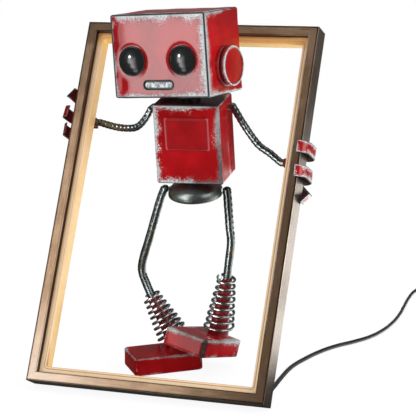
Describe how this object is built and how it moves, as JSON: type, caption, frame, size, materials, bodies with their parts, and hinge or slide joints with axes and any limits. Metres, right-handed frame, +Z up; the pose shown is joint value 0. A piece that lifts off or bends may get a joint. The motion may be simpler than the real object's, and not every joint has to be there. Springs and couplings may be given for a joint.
{
  "type": "figure table lamp",
  "caption": "Robot figure of worn red metal boxes and ribbed rods that holds a leaning bronze frame with a lit diffuser inside, on a lead with switch and plug-in supply.",
  "frame": {"origin": "middle of the footprint of the lamp without its lead, on the table", "axes": "+Z up, -Y to the front where the face looks, +X to the viewer's right"},
  "size_m": [0.4123, 0.5572, 0.3918],
  "materials": {
    "bronze": "antique bronze, worn light at the edges",
    "red": "glossy red, worn to grey steel at the edges",
    "dark_red": "satin dark red",
    "gunmetal": "dark varnished steel with bright ribs",
    "diffuser": "opal, warm",
    "led": "white strip with yellow chips",
    "eye": "polished black",
    "mouth": "speckled",
    "steel": "plain",
    "brass": "satin",
    "cord": "black sheath",
    "black": "fine grain",
    "pin": "nickel plated"
  },
  "bodies": {
    "body": {"rail_left": "bronze", "rail_right": "bronze", "rail_top": "bronze", "rail_bottom": "bronze", "corner_keys": "steel", "diffuser": "diffuser", "led_strip": "led", "lead_gland": "black", "neck_bush": "brass", "torso_shell": "red", "torso_back": "dark_red", "back_screws": "steel", "chest_panel": "red", "pelvis": "gunmetal", "hip_rod": "gunmetal", "arm_left": "gunmetal", "arm_right": "gunmetal", "palm_left": "dark_red", "palm_right": "dark_red", "finger_left_1": "red", "finger_left_2": "red", "finger_left_3": "red", "finger_right_1": "red", "finger_right_2": "red", "finger_right_3": "red", "leg_left": "gunmetal", "leg_right": "gunmetal", "ankle_post_left": "dark_red", "ankle_post_right": "dark_red", "spring_left": "gunmetal", "spring_right": "gunmetal", "shoe_left": "red", "shoe_right": "red", "lead": "cord", "lead_tail": "cord", "lead_coil": "cord", "coil_tie": "black", "switch_base": "black", "switch_lid": "black", "switch_screws": "steel", "rocker_pin": "steel", "plug_relief": "black", "plug_body": "black", "plug_cap": "black", "plug_pins": "pin"},
    "neck": {"neck_post": "gunmetal", "neck_clip": "steel"},
    "head": {"head_shell": "red", "face_plate": "red", "eye_left": "eye", "eye_right": "eye", "mouth_plate": "mouth", "ear_base_left": "dark_red", "ear_base_right": "dark_red", "ear_cap_left": "red", "ear_cap_right": "red", "ear_bolts": "steel", "nod_bracket": "gunmetal", "nod_pin": "steel"},
    "rocker": {"switch_rocker": "black"}
  },
  "joints": [
    {"name": "neck_swivel", "type": "hinge", "parent": "body", "child": "neck", "pos_m": [0.01483, 0.02249, 0.29408], "axis": [0.013, -0.109, 0.994], "range_deg": [-30, 30]},
    {"name": "head_nod", "type": "hinge", "parent": "neck", "child": "head", "pos_m": [0.01514, 0.0199, 0.31772], "axis": [0.9897, -0.1303, 0.0593], "range_deg": [-3, 10]},
    {"name": "switch_rocker", "type": "hinge", "parent": "body", "child": "rocker", "pos_m": [0.24576, 0.38585, 0.0122], "axis": [1, 0, 0], "range_deg": [-16, 0]}
  ]
}
